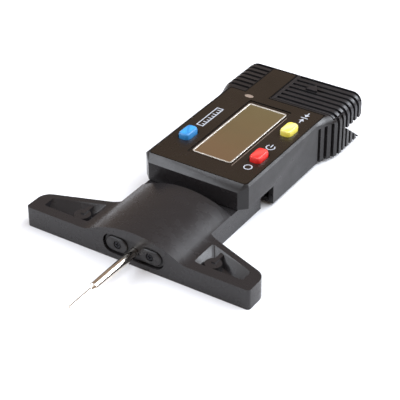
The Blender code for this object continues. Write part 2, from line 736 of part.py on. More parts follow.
def mouth_outline():
    """Side view (y, z) of the notch that opens the tail between deck and jaw."""
    slope = (MODULE_BOTTOM - MOUTH_APEX[1]) / (MOUTH_TIP - MOUTH_APEX[0])
    low = -OVERCUT
    foot = MOUTH_APEX[0] + (low - MOUTH_APEX[1]) / slope
    rear = MODULE_REAR + OVERCUT
    return [MOUTH_APEX, (foot, low), (rear, low), (rear, MOUTH_ROOF)]


def groove_at(number):
    """Front and rear of one grip groove."""
    y = GROOVE_START + number * GROOVE_PITCH
    return y, y + GROOVE_WIDTH


def groove_outline(inner_x, low):
    """Cross-section (x, z) of a groove that runs over the top and down the right side to low."""
    deep_x = GRIP_HALF - GROOVE_DEPTH_SIDE
    deep_z = MODULE_TOP - GROOVE_DEPTH_TOP
    far_x = GRIP_HALF + OVERCUT
    far_z = MODULE_TOP + OVERCUT
    return filleted([
        (inner_x, deep_z, 0.0), (deep_x, deep_z, TAIL_ROUND - GROOVE_DEPTH_SIDE), (deep_x, low, 0.0),
        (far_x, low, 0.0), (far_x, far_z, TAIL_ROUND + OVERCUT), (inner_x, far_z, 0.0)])


def cut_grip_grooves(shop, housing):
    """Upright grooves down both flared sides; on the left the rear ones go on over the top."""
    for number in range(GROOVE_COUNT):
        front, rear = groove_at(number)
        deep = grip_half_at(front) - GROOVE_DEPTH_SIDE
        far = GRIP_HALF + OVERCUT
        right = [(deep, -OVERCUT), (far, -OVERCUT), (far, SIDE_GROOVE_TOP), (deep, SIDE_GROOVE_TOP)]
        left = mirrored(right)
        if number >= TOP_GROOVE_FIRST:
            left = mirrored(groove_outline(LEFT_GROOVE_END, -OVERCUT))
            right = [(deep, -OVERCUT), (far, -OVERCUT), (far, LID_UNDER), (deep, LID_UNDER)]
        shop.cut(housing, f"groove_left_{number}", prism(left, "Y", front, rear))
        shop.cut(housing, f"groove_right_{number}", prism(right, "Y", front, rear))


def cut_battery_bay(shop, housing):
    """The cell's bay in the tail, the cover's seat above it and the contacts' slots ahead of it."""
    past_wall = (BAY_REAR - OVERCUT, CELL_BAY_FRONT + OVERCUT)
    shop.cut(housing, "battery_bay",
             block((CELL_BAY_LEFT, CELL_BAY_RIGHT), (CELL_BAY_FRONT, CELL_BAY_REAR),
                   (CELL_FLOOR, MODULE_TOP + OVERCUT)))
    shop.cut(housing, "lid_seat", lid_top_room(GAP))
    shop.cut(housing, "lid_side_seat", lid_side_room(GAP))
    shop.cut(housing, "strip_slot", block(STRIP_SLOT_ACROSS, past_wall, (CELL_FLOOR, STRIP_SLOT_TOP)))
    shop.cut(housing, "leaf_slot", block(LEAF_SLOT_ACROSS, past_wall, LEAF_SLOT_HEIGHT))


def cut_top_openings(shop, housing):
    above = MODULE_TOP + OVERCUT
    below = ROOF_UNDER - OVERCUT
    shop.cut(housing, "window_hole", prism(window_outline(GAP), "Z", below, above))
    shop.cut(housing, "overlay_seat", prism(overlay_outline(GAP), "Z", OVERLAY_SEAT, above))
    for name, centre in BUTTONS.items():
        hole = button_outline(centre, BUTTON_HALF, GAP)
        shop.cut(housing, f"{name}_hole", prism(hole, "Z", below, above))


def add_rails(shop, housing):
    """A rail along each side of the beam, with the bottom cover's screw holes."""
    for side, sign, near in (("left", -1.0, GIB_RAIL_INNER), ("right", 1.0, RAIL_INNER)):
        across = sorted((sign * near, sign * (MODULE_HALF - WALL / 2.0)))
        shop.join(housing, f"rail_{side}",
                  block(across, (RAIL_FRONT, RAIL_REAR), (COVER_TOP + GAP, RAIL_TOP)))
        for number, y in enumerate(COVER_SCREW_YS):
            hole = circle_outline((sign * COVER_SCREW_X, y), COVER_SCREW[1] + SCREW_PLAY, HOLE_STEPS)
            shop.cut(housing, f"screw_hole_{side}_{number}", prism(hole, "Z", MM, COVER_SCREW_TIP + GAP))


def make_upper_housing(shop):
    housing = shop.piece("upper_housing", "black_moulding", module_body(), (0.0, MODULE_FRONT, 0.0))
    wide = GRIP_HALF + OVERCUT
    inner = MODULE_HALF - WALL
    shop.cut(housing, "front_relief",
             block(both_sides(wide), (MODULE_FRONT - OVERCUT, SKIRT_FRONT), (-OVERCUT, FRONT_WALL_BOTTOM)))
    shop.cut(housing, "bay", prism(bay_outline(), "Z", -OVERCUT, ROOF_UNDER))
    shop.cut(housing, "beam_tunnel",
             block((CELL_BAY_LEFT - 2.0 * MM, inner), (BAY_REAR - OVERCUT, MODULE_REAR + OVERCUT),
                   (-OVERCUT, MOUTH_ROOF)))
    shop.cut(housing, "mouth", prism(mouth_outline(), "X", -wide, wide))
    cut_battery_bay(shop, housing)
    cut_top_openings(shop, housing)
    add_rails(shop, housing)
    cut_grip_grooves(shop, housing)


# Display module: top face


def overlay_outline(grow):
    """Plan of the printed film: the flat top ahead of the grip, and a tongue back between the ribs."""
    half = MODULE_HALF - SIDE_CHAMFER - OVERLAY_MARGIN + grow
    front = MODULE_FRONT + FRONT_CHAMFER + OVERLAY_MARGIN - grow
    rear = OVERLAY_REAR + grow
    tongue_left = -LEFT_GROOVE_END + OVERLAY_MARGIN - grow
    tongue_right = LID_LEFT - GAP - OVERLAY_MARGIN + grow
    tongue_rear = TONGUE_REAR + grow
    return filleted([(-half, front, OVERLAY_FRONT_CORNER), (half, front, OVERLAY_FRONT_CORNER),
                     (half, rear, OVERLAY_CORNER), (tongue_right, rear, 0.0),
                     (tongue_right, tongue_rear, OVERLAY_CORNER),
                     (tongue_left, tongue_rear, OVERLAY_CORNER),
                     (tongue_left, rear, 0.0), (-half, rear, OVERLAY_CORNER)], CORNER_STEPS)


def window_outline(grow):
    half = WINDOW_HALF + grow
    front = WINDOW_FRONT - grow
    rear = WINDOW_REAR + grow
    corners = ((-half, front), (half, front), (half, rear), (-half, rear))
    return filleted([(x, y, WINDOW_CORNER) for x, y in corners], CORNER_STEPS)


def button_outline(centre, half, grow):
    x, y = centre
    across = half[0] + grow
    along = half[1] + grow
    radius = BUTTON_ROUNDNESS * across
    corners = ((x - across, y - along), (x + across, y - along),
               (x + across, y + along), (x - across, y + along))
    return filleted([(a, b, radius) for a, b in corners], CORNER_STEPS)


def make_overlay(shop):
    low = OVERLAY_SEAT + THIN_GAP
    past = (low - OVERCUT, low + OVERCUT)
    film = prism(overlay_outline(0.0), "Z", low, low + OVERLAY_THICK)
    overlay = shop.piece("face_overlay", "overlay_film", film, (0.0, OVERLAY_REAR, low))
    shop.cut(overlay, "window_hole", prism(window_outline(0.0), "Z", *past))
    for name, centre in BUTTONS.items():
        shop.cut(overlay, f"{name}_hole", prism(button_outline(centre, BUTTON_HALF, GAP), "Z", *past))


def make_display(shop):
    """The window plate, the panel under it, and the two zebra strips that join panel and board."""
    plate = prism(window_outline(-WINDOW_INSET), "Z", *WINDOW_PLATE)
    shop.piece("display_window", "window_acrylic", plate, (0.0, WINDOW_FRONT, WINDOW_PLATE[0]))
    shop.piece("lcd_panel", "display_glass", block(both_sides(LCD_HALF), LCD_LENGTH, LCD_PANEL),
               (0.0, LCD_LENGTH[0], LCD_PANEL[0]))
    low = BOARD_TOP + THIN_GAP
    for side, sign in (("left", -1.0), ("right", 1.0)):
        across = sorted(sign * x for x in ZEBRA_ACROSS)
        shop.piece(f"zebra_strip_{side}", "zebra_rubber", block(across, ZEBRA_LENGTH, (low, ZEBRA_TOP)),
                   (across[0], ZEBRA_LENGTH[0], low))


def make_buttons(shop):
    """Three caps, each held under the roof by a flange and pressing a switch with its stem."""
    colours = {"unit": "unit_blue", "power": "power_red", "zero": "zero_yellow"}
    low = BOARD_TOP + THIN_GAP
    for name, centre in BUTTONS.items():
        x, y = centre
        cap = prism(button_outline(centre, BUTTON_HALF, 0.0), "Z", BUTTON_FLANGE[0], BUTTON_TOP)
        soften(cap, 2, (BUTTON_TOP,), BUTTON_CROWN, CORNER_STEPS)
        button = shop.piece(f"{name}_button", colours[name], cap, (x, y, BUTTON_TOP))
        flange = button_outline(centre, BUTTON_FLANGE_HALF, 0.0)
        shop.join(button, "flange", prism(flange, "Z", *BUTTON_FLANGE))
        stem = circle_outline(centre, BUTTON_STEM_RADIUS, SMALL_ROUND_STEPS)
        shop.join(button, "stem", prism(stem, "Z", BUTTON_STEM_BOTTOM, BUTTON_FLANGE[1] + OVERCUT))
        switch = block((x - SWITCH_HALF, x + SWITCH_HALF), (y - SWITCH_HALF, y + SWITCH_HALF),
                       (low, SWITCH_TOP))
        shop.piece(f"{name}_switch", "switch_plastic", switch, (x, y, low))


# Display module: electronics, battery and its cover


def make_electronics(shop):
    shop.piece("circuit_board", "board_laminate",
               block(both_sides(BOARD_HALF), BOARD_LENGTH, (BOARD_BOTTOM, BOARD_TOP)),
               (0.0, BOARD_LENGTH[0], BOARD_BOTTOM))
    low = BOARD_TOP + THIN_GAP
    dome = [(low, 0.0), (low, CHIP_RADIUS), (low + 0.45 * CHIP_HEIGHT, 0.93 * CHIP_RADIUS),
            (low + 0.82 * CHIP_HEIGHT, 0.66 * CHIP_RADIUS), (low + CHIP_HEIGHT, 0.0)]
    shop.piece("controller_chip", "chip_epoxy", turned(dome, "Z", CHIP_AT), (*CHIP_AT, low))
    front, rear = CRYSTAL_LENGTH
    edge = CRYSTAL_RADIUS / 4.0
    can = [(front, 0.0), (front, CRYSTAL_RADIUS - edge), (front + edge, CRYSTAL_RADIUS),
           (rear - edge, CRYSTAL_RADIUS), (rear, CRYSTAL_RADIUS - edge), (rear, 0.0)]
    axis = (CRYSTAL_X, low + CRYSTAL_RADIUS + THIN_GAP)
    shop.piece("quartz_crystal", "contact_nickel", turned(can, "Y", axis, SMALL_ROUND_STEPS),
               (axis[0], front, axis[1]))


def make_button_cell(shop):
    """The cell stands on its smaller cap, with the can's crimped edge round it."""
    can_z = CELL_BOTTOM + CELL_CAP_RISE
    profile = [(CELL_BOTTOM, 0.0), (CELL_BOTTOM, CELL_CAP_RADIUS), (can_z, CELL_CAP_RADIUS),
               (can_z, CELL_RADIUS - CELL_EDGE), (can_z + CELL_EDGE, CELL_RADIUS),
               (CELL_TOP - CELL_EDGE, CELL_RADIUS), (CELL_TOP, CELL_RADIUS - CELL_EDGE), (CELL_TOP, 0.0)]
    cell = turned(profile, "Z", CELL_AT, CELL_STEPS)
    shop.piece("button_cell", "cell_steel", cell, (*CELL_AT, CELL_BOTTOM))


def thickened(spine, thick):
    """Outline of a strip of sheet metal from the line of its lower face, drawn front to rear."""
    return spine + [(a, b + thick) for a, b in reversed(spine)]


def make_contacts(shop):
    """A flat strip under the cell and an upright leaf against its side, both from the board."""
    low = CELL_FLOOR + THIN_GAP
    rise = BOARD_TOP + THIN_GAP
    front = BAY_REAR - STRIP_PAD
    strip = [(front, rise), (BAY_REAR - GAP, rise), (CELL_BAY_FRONT + GAP, low), (STRIP_REAR, low)]
    shop.piece("negative_contact", "contact_nickel",
               prism(thickened(strip, STRIP_THICK), "X", *STRIP_ACROSS), (STRIP_ACROSS[0], front, low))
    near = CELL_AT[0] + CELL_RADIUS + LEAF_PLAY
    spine = [(LEAF_FRONT, near + LEAF_BOW), (CELL_AT[1], near), (LEAF_REAR, near + 2.0 * LEAF_BOW)]
    leaf = [(x, y) for y, x in thickened(spine, LEAF_THICK)]
    shop.piece("positive_contact", "contact_nickel", prism(leaf, "Z", *LEAF_HEIGHT),
               (near, LEAF_FRONT, LEAF_HEIGHT[0]))


def make_battery_cover(shop):
    """The cover's outside is the module's own outer form, so it lies flush with the housing."""
    cover = shop.piece("battery_cover", "grip_moulding", module_body(), (LID_LEFT, LID_FRONT, LID_UNDER))
    room = shop.combine(cover, "INTERSECT", "room", lid_top_room(0.0))
    shop.join(room, "side", lid_side_room(0.0))
    for number in range(TOP_GROOVE_FIRST, GROOVE_COUNT):
        outline = groove_outline(LID_LEFT + LID_GROOVE_MARGIN, LID_SIDE_BOTTOM - OVERCUT)
        shop.cut(cover, f"groove_{number}", prism(outline, "Y", *groove_at(number)))
    left, right, base = ARROW_BASE
    arrow = [(left, base), (right, base), ARROW_POINT]
    shop.join(cover, "arrow",
              prism(arrow, "Z", MODULE_TOP - GROOVE_DEPTH_TOP - ARROW_ROOT, MODULE_TOP + ARROW_RISE))


# Display module: underside


def make_bottom_cover(shop):
    half = MODULE_HALF - WALL - GAP
    cover = shop.piece("bottom_cover", "black_moulding",
                       block(both_sides(half), (SKIRT_FRONT + GAP, COVER_REAR), (MODULE_BOTTOM, COVER_TOP)),
                       (0.0, SKIRT_FRONT, MODULE_BOTTOM))
    places = {f"{side}_{end}": (sign * COVER_SCREW_X, y)
              for side, sign in (("left", -1.0), ("right", 1.0))
              for end, y in zip(("front", "rear"), COVER_SCREW_YS)}
    seat = COVER_SCREW_HEAD_Z + SCREW_HEAD_HEIGHT + THIN_GAP
    for name, centre in {**places, "carrier": CARRIER_SCREW_AT}.items():
        way = screw_way("Z", centre, 0.0, seat, COVER_TOP + OVERCUT, COVER_SCREW)
        shop.cut(cover, f"screw_way_{name}", way)
    for name, centre in places.items():
        body = screw_body("Z", centre, COVER_SCREW_HEAD_Z, COVER_SCREW_TIP, COVER_SCREW)
        shop.piece(f"cover_screw_{name}", "screw_steel", body, (*centre, COVER_SCREW_HEAD_Z))


def make_gib_spring(shop):
    """A bowed leaf in the left rail that takes up the play beside the beam."""
    near = -BEAM_HALF - GIB_PLAY
    far = -GIB_RAIL_INNER + GIB_PLAY + GIB_THICK
    front, rear = GIB_LENGTH
    spine = []
    for step in range(GIB_STEPS + 1):
        share = step / GIB_STEPS
        x = far + (near - GIB_THICK - far) * math.sin(math.pi * share)
        spine.append((front + (rear - front) * share, x))
    outline = [(x, y) for y, x in thickened(spine, GIB_THICK)]
    leaf = prism(outline, "Z", *GIB_HEIGHT)
    shop.piece("gib_spring", "spring_bronze", leaf, (far, front, GIB_HEIGHT[0]))


def main():
    clear_scene()
    shop = Workshop()
    make_base_frame(shop)
    make_scale_strip(shop)
    make_front_plug(shop)
    make_plug_screws(shop)
    make_probe(shop)
    make_probe_carrier(shop)
    make_upper_housing(shop)
    make_overlay(shop)
    make_display(shop)
    make_buttons(shop)
    make_electronics(shop)
    make_button_cell(shop)
    make_contacts(shop)
    make_battery_cover(shop)
    make_bottom_cover(shop)
    make_gib_spring(shop)


main()
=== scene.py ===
"""Looks of the tread depth gauge: finer meshes, materials, printed signs, camera and studio.

Lengths are metres. The foot's face looks towards -y, and the face with the display towards +z.
"""

import json
import math

import bmesh
import bpy
from mathutils import Matrix, Vector

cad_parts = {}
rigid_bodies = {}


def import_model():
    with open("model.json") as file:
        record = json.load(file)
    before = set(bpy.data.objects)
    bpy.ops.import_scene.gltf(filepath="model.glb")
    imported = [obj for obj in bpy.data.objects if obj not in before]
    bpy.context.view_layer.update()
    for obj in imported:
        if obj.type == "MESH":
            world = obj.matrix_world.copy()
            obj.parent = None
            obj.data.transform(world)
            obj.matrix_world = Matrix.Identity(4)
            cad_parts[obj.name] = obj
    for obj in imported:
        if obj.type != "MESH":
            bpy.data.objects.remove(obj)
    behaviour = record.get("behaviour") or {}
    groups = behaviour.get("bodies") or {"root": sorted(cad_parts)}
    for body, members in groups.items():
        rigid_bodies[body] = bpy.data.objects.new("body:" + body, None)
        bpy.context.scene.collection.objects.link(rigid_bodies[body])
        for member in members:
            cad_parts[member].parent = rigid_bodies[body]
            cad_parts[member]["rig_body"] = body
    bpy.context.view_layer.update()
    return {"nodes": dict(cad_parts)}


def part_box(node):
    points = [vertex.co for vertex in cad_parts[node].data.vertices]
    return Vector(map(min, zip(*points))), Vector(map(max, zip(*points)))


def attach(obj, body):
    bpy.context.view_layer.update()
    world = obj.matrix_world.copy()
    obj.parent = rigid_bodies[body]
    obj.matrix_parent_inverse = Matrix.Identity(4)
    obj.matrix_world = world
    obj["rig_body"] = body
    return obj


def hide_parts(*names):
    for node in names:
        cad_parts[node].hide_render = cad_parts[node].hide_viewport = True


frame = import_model()

MM = 0.001
WINDOW_LOW, WINDOW_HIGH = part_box("display_window")


# Shader graphs

OUTER_EDGE = (0.51, 0.60)
MIX_COLOUR_INPUTS = (6, 7)
MIX_COLOUR_OUTPUT = 2


def shade(colour, factor):
    """The colour made darker or paler by a factor."""
    return tuple(min(channel * factor, 1.0) for channel in colour)


class Graph:
    """A material under construction: its Principled shader, fed by nodes in object space."""

    def __init__(self, name):
        self.material = bpy.data.materials.new(name)
        self.material.use_nodes = True
        self.tree = self.material.node_tree
        self.shader = self.tree.nodes["Principled BSDF"]
        self.place = self.tree.nodes.new("ShaderNodeTexCoord").outputs["Object"]

    def set(self, **values):
        """Sets sockets of the shader that are the same all over the surface."""
        for name, value in values.items():
            self.shader.inputs[name.replace("_", " ")].default_value = value

    def drive(self, socket, output):
        """Feeds a socket of the shader from an output."""
        self.tree.links.new(output, self.shader.inputs[socket])

    def noise(self, scale, detail=3.0, stretch=(1.0, 1.0, 1.0)):
        """Noise of this many cells a metre, around 0.5. A small stretch draws it out along that axis."""
        mapping = self.tree.nodes.new("ShaderNodeMapping")
        mapping.inputs["Scale"].default_value = stretch
        self.tree.links.new(self.place, mapping.inputs["Vector"])
        noise = self.tree.nodes.new("ShaderNodeTexNoise")
        noise.inputs["Scale"].default_value = scale
        noise.inputs["Detail"].default_value = detail
        self.tree.links.new(mapping.outputs["Vector"], noise.inputs["Vector"])
        return noise.outputs["Fac"]

    def cells(self, scale):
        """Distance from the middle of the nearest of this many cells a metre."""
        voronoi = self.tree.nodes.new("ShaderNodeTexVoronoi")
        voronoi.inputs["Scale"].default_value = scale
        self.tree.links.new(self.place, voronoi.inputs["Vector"])
        return voronoi.outputs["Distance"]

    def bands(self, scale, axis, distortion=0.0):
        """Parallel lines across an axis, about 3.2 times this many a metre."""
        wave = self.tree.nodes.new("ShaderNodeTexWave")
        wave.bands_direction = axis
        wave.inputs["Scale"].default_value = scale
        wave.inputs["Distortion"].default_value = distortion
        self.tree.links.new(self.place, wave.inputs["Vector"])
        return wave.outputs["Fac"]

    def along(self, axis, start, end):
        """0 to 1 from start to end of an axis."""
        split = self.tree.nodes.new("ShaderNodeSeparateXYZ")
        self.tree.links.new(self.place, split.inputs["Vector"])
        return self.spread(split.outputs[axis], 0.0, 1.0, start, end)

    def spread(self, value, low, high, from_low=0.3, from_high=0.7):
        """Maps from_low..from_high to low..high and holds it there outside."""
        reach = self.tree.nodes.new("ShaderNodeMapRange")
        limits = {"From Min": from_low, "From Max": from_high, "To Min": low, "To Max": high}
        for name, limit in limits.items():
            reach.inputs[name].default_value = limit
        self.tree.links.new(value, reach.inputs["Value"])
        return reach.outputs["Result"]

    def combine(self, operation, first, second):
        """A sum, difference or product of an output with another output or with a number."""
        maths = self.tree.nodes.new("ShaderNodeMath")
        maths.operation = operation
        self.tree.links.new(first, maths.inputs[0])
        if isinstance(second, float):
            maths.inputs[1].default_value = second
        else:
            self.tree.links.new(second, maths.inputs[1])
        return maths.outputs["Value"]

    def blend(self, share, first, second):
        """A colour between two, each a tuple or an output."""
        mix = self.tree.nodes.new("ShaderNodeMix")
        mix.data_type = "RGBA"
        self.tree.links.new(share, mix.inputs["Factor"])
        for socket, colour in zip(MIX_COLOUR_INPUTS, (first, second)):
            if isinstance(colour, tuple):
                mix.inputs[socket].default_value = (*colour, 1.0)
            else:
                self.tree.links.new(colour, mix.inputs[socket])
        return mix.outputs[MIX_COLOUR_OUTPUT]

    def clouded(self, colour, scale, tones, detail=3.0):
        """The colour in soft clouds, between a darker and a paler tone of it."""
        dark, pale = (shade(colour, tone) for tone in tones)
        return self.blend(self.spread(self.noise(scale, detail), 0.0, 1.0), dark, pale)

    def patchy(self, scale, low, high):
        """A value that wanders between two limits."""
        return self.spread(self.noise(scale), low, high)

    def edges(self):
        """0 on flats, towards 1 on outer edges."""
        geometry = self.tree.nodes.new("ShaderNodeNewGeometry")
        return self.spread(geometry.outputs["Pointiness"], 0.0, 1.0, *OUTER_EDGE)

    def relief(self, height, depth):
        """Bump of this real depth in metres."""
        bump = self.tree.nodes.new("ShaderNodeBump")
        bump.inputs["Distance"].default_value = depth
        self.tree.links.new(height, bump.inputs["Height"])
        self.drive("Normal", bump.outputs["Normal"])


# Finishes: a scale counts cells a metre, and a tone is a factor on the finish's own colour

SPECK_SHARE = 0.6
SPECK_TONE = 1.9
SPECK_STRENGTH = 0.35
PIT_SHARE = 0.8
PIT_STRENGTH = 0.5
RUBBED_TONE = 1.8
RUBBED_SMOOTHER = 0.14


def moulded(name, colour, roughness, grain=3200.0, grain_depth=0.012 * MM, worn=None, specular=0.5):
    """Moulded plastic: spark-eroded grain, faint clouding, edges rubbed smoother and paler."""
    graph = Graph(name)
    body = graph.clouded(colour, scale=90.0, tones=(0.86, 1.16), detail=4.0)
    specks = graph.noise(grain * SPECK_SHARE, detail=2.0)
    specks = graph.spread(specks, 0.0, SPECK_STRENGTH, from_low=0.5, from_high=0.75)
    body = graph.blend(specks, body, shade(colour, SPECK_TONE))
    rubbed = graph.edges()
    graph.drive("Base Color", graph.blend(rubbed, body, worn or shade(colour, RUBBED_TONE)))
    uneven = graph.patchy(260.0, low=roughness - 0.05, high=roughness + 0.06)
    smoother = graph.combine("MULTIPLY", rubbed, RUBBED_SMOOTHER)
    graph.drive("Roughness", graph.combine("SUBTRACT", uneven, smoother))
    fine = graph.noise(grain, detail=2.0)
    pits = graph.spread(graph.cells(grain * PIT_SHARE), 0.0, 1.0, from_low=0.0, from_high=0.8)
    graph.relief(graph.combine("ADD", fine, graph.combine("MULTIPLY", pits, PIT_STRENGTH)), grain_depth)
    graph.set(Specular_IOR_Level=specular)
    return graph.material


def glossy_film(name, colour, roughness):
    """Hard-coated polyester film: even and glossy, with the faintest orange peel."""
    graph = Graph(name)
    graph.drive("Base Color", graph.clouded(colour, scale=60.0, tones=(0.85, 1.2), detail=2.0))
    graph.drive("Roughness", graph.patchy(350.0, low=roughness - 0.03, high=roughness + 0.03))
    graph.relief(graph.noise(1100.0, detail=2.0), depth=0.003 * MM)
    graph.set(Coat_Weight=0.15, Coat_Roughness=0.25)
    return graph.material


def display_pane(name, front_colour, rear_colour):
    """The display under its pane: a soft change of tone along it and a clear gloss over it."""
    graph = Graph(name)
    tone = graph.blend(graph.along("Y", WINDOW_LOW.y, WINDOW_HIGH.y), front_colour, rear_colour)
    clouds = graph.spread(graph.noise(70.0, detail=2.0), low=0.0, high=0.35)
    graph.drive("Base Color", graph.blend(clouds, tone, shade(rear_colour, factor=0.8)))
    graph.drive("Roughness", graph.patchy(200.0, low=0.30, high=0.38))
    graph.relief(graph.noise(1200.0, detail=1.0), depth=0.002 * MM)
    graph.set(Coat_Weight=0.6, Coat_Roughness=0.06)
    return graph.material


# Stretches that draw a noise out into marks along an axis, or round it

ALONG_X = (0.04, 1.0, 1.0)
ALONG_Y = (1.0, 0.04, 1.0)
ROUND_Y = (0.05, 1.0, 0.05)


def metal(name, colour, roughness, way, mark_scale=1500.0):
    """Drawn or turned metal: fine marks along or round an axis, and a slightly uneven polish."""
    graph = Graph(name)
    graph.drive("Base Color", graph.clouded(colour, scale=150.0, tones=(0.9, 1.05)))
    marks = graph.noise(mark_scale, stretch=way)
    polish = graph.patchy(150.0, low=roughness - 0.02, high=roughness + 0.04)
    graph.drive("Roughness", graph.combine("ADD", graph.spread(marks, low=0.0, high=0.08), polish))
    graph.relief(marks, depth=0.003 * MM)
    graph.set(Metallic=1.0)
    return graph.material


def ink(name, colour):
    """Screen-printed ink with a slightly broken surface."""
    graph = Graph(name)
    graph.drive("Base Color", graph.clouded(colour, scale=2500.0, tones=(0.8, 1.0)))
    graph.drive("Roughness", graph.patchy(1200.0, low=0.45, high=0.6))
    graph.relief(graph.noise(4000.0), depth=0.003 * MM)
    return graph.material


BOARD_GREEN = (0.012, 0.10, 0.040)
TRACK_GREEN = (0.035, 0.19, 0.075)
STRIP_GREEN = (0.03, 0.10, 0.05)
BARE_COPPER = (0.66, 0.38, 0.20)
RUBBER_BLACK = (0.03, 0.03, 0.035)
RUBBER_GREY = (0.45, 0.45, 0.48)


def solder_mask(name):
    """Green board lacquer over tracks, which show as paler lines."""
    graph = Graph(name)
    across = graph.bands(70.0, "X", distortion=1.5)
    tracks = graph.combine("MULTIPLY", across, graph.bands(45.0, "Y", distortion=2.0))
    track = graph.spread(tracks, 0.0, 1.0, from_low=0.45, from_high=0.55)
    graph.drive("Base Color", graph.blend(track, BOARD_GREEN, TRACK_GREEN))
    graph.drive("Roughness", graph.patchy(400.0, low=0.28, high=0.42))
    graph.relief(track, depth=0.02 * MM)
    return graph.material


def scale_pattern(name):
    """Etched copper bars under a thin lacquer."""
    graph = Graph(name)
    bars = graph.spread(graph.bands(210.0, "Y"), 0.0, 1.0, from_low=0.48, from_high=0.52)
    graph.drive("Base Color", graph.blend(bars, STRIP_GREEN, BARE_COPPER))
    graph.drive("Metallic", graph.spread(bars, low=0.0, high=0.9, from_low=0.0, from_high=1.0))
    graph.drive("Roughness", graph.patchy(500.0, low=0.26, high=0.4))
    graph.relief(bars, depth=0.015 * MM)
    graph.set(Coat_Weight=0.5, Coat_Roughness=0.15)
    return graph.material


def zebra_rubber(name):
    """Alternating conductive and clear layers of rubber."""
    graph = Graph(name)
    layers = graph.spread(graph.bands(500.0, "Y"), 0.0, 1.0, from_low=0.4, from_high=0.6)
    graph.drive("Base Color", graph.blend(layers, RUBBER_BLACK, RUBBER_GREY))
    graph.drive("Roughness", graph.patchy(600.0, low=0.55, high=0.75))
    graph.relief(graph.noise(2500.0), depth=0.01 * MM)
    return graph.material


KEY_GRAIN = (1800.0, 0.006 * MM)
CHIP_GRAIN = (900.0, 0.010 * MM)
NYLON_GRAIN = (1500.0, 0.010 * MM)

MATERIALS = {
    "black_moulding": moulded("satin_black", (0.0100, 0.0092, 0.0098), 0.40, specular=0.36),
    "grip_moulding": moulded("ribbed_black", (0.0100, 0.0096, 0.0112), 0.42, specular=0.42),
    "overlay_film": glossy_film("glossy_overlay", (0.0100, 0.0068, 0.0046), 0.27),
    "window_acrylic": glossy_film("window_print", (0.0080, 0.0055, 0.0040), 0.16),
    "display_glass": display_pane("olive_display", (0.122, 0.067, 0.033), (0.108, 0.083, 0.034)),
    "unit_blue": moulded("blue_key", (0.022, 0.180, 0.440), 0.38, *KEY_GRAIN, (0.05, 0.32, 0.70)),
    "power_red": moulded("red_key", (0.720, 0.015, 0.012), 0.38, *KEY_GRAIN, (0.85, 0.07, 0.06)),
    "zero_yellow": moulded("yellow_key", (0.850, 0.720, 0.075), 0.38, *KEY_GRAIN, (0.95, 0.85, 0.30)),
    "probe_steel": metal("polished_steel", (0.93, 0.88, 0.80), 0.10, ROUND_Y, 2200.0),
    "screw_steel": metal("blackened_steel", (0.036, 0.036, 0.040), 0.42, ROUND_Y),
    "spring_bronze": metal("bronze_strip", (0.70, 0.48, 0.24), 0.28, ALONG_Y),
    "contact_nickel": metal("nickel_plate", (0.72, 0.70, 0.66), 0.24, ALONG_Y),
    "cell_steel": metal("cell_can", (0.76, 0.76, 0.75), 0.20, ALONG_X, 900.0),
    "board_laminate": solder_mask("green_board"),
    "scale_copper": scale_pattern("copper_bars"),
    "chip_epoxy": moulded("epoxy_drop", (0.012, 0.012, 0.013), 0.26, *CHIP_GRAIN),
    "switch_plastic": moulded("switch_body", (0.05, 0.05, 0.05), 0.45),
    "zebra_rubber": zebra_rubber("layered_rubber"),
    "carrier_nylon": moulded("natural_nylon", (0.50, 0.48, 0.42), 0.48, *NYLON_GRAIN, (0.6, 0.58, 0.5)),
    "print_ink": ink("pale_ink", (0.48, 0.51, 0.57)),
    # This dull pale finish colours the spot behind the window and also paints the highlight line beside the
    # window
    "dull_spot_and_painted_highlight": ink("dull_spot_and_painted_highlight", (0.27, 0.21, 0.17)),
    "bezel_silver": metal("silver_line", (0.90, 0.88, 0.83), 0.38, ALONG_X, 900.0),
}


# Finer copies of the CAD pieces

MERGE_DISTANCE = 0.001 * MM
FLAT_ANGLE = math.radians(0.6)
EDGE_ANGLE = math.radians(28.0)
USUAL_EDGE = (0.08 * MM, 2)
SCREW_EDGE = (0.06 * MM, 2)
EDGES = {
    "base_frame": (0.45 * MM, 3),
    "upper_housing": (0.22 * MM, 2),
    "battery_cover": (0.18 * MM, 2),
    "bottom_cover": (0.25 * MM, 2),
    "front_plug": (0.14 * MM, 2),
    "unit_button": (0.25 * MM, 3),
    "power_button": (0.25 * MM, 3),
    "zero_button": (0.25 * MM, 3),
}


def clean_copy(node, merge_flats=True):
    """The node's mesh, as few large faces or as it is, with no shading left over from the import."""
    shape = bmesh.new()
    shape.from_mesh(frame["nodes"][node].data)
    bmesh.ops.remove_doubles(shape, verts=shape.verts, dist=MERGE_DISTANCE)
    if merge_flats:
        bmesh.ops.dissolve_limit(shape, angle_limit=FLAT_ANGLE, verts=shape.verts, edges=shape.edges)
    for edge in shape.edges:
        edge.smooth = True
    mesh = bpy.data.meshes.new(f"{node}_finished")
    shape.to_mesh(mesh)
    shape.free()
    custom = mesh.attributes.get("custom_normal")
    if custom:
        mesh.attributes.remove(custom)
    return mesh


def show(name, mesh, body, slot, replaced=()):
    """Puts a mesh into the scene on its body, with the finish of its slot."""
    mesh.materials.clear()
    mesh.materials.append(MATERIALS[slot])
    piece = bpy.data.objects.new(name, mesh)
    bpy.context.scene.collection.objects.link(piece)
    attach(piece, body)
    if replaced:
        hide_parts(*replaced)
    return piece


def show_node(node, mesh):
    """Shows a mesh in the place of a CAD node."""
    source = frame["nodes"][node]
    slot = source.data.materials[0].name.split(".")[0]
    return show(f"{node}_finished", mesh, source["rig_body"], slot, (node,))


def round_edges(piece, width, segments=2):
    """Rounds the piece's edges, and shades it smooth between them."""
    piece.data.shade_smooth()
    bevel = piece.modifiers.new("edge_rounding", "BEVEL")
    bevel.width = width
    bevel.segments = segments
    bevel.limit_method = "ANGLE"
    bevel.angle_limit = EDGE_ANGLE
    bevel.harden_normals = True
    bevel.miter_outer = "MITER_ARC"


# Screws with a cross recess

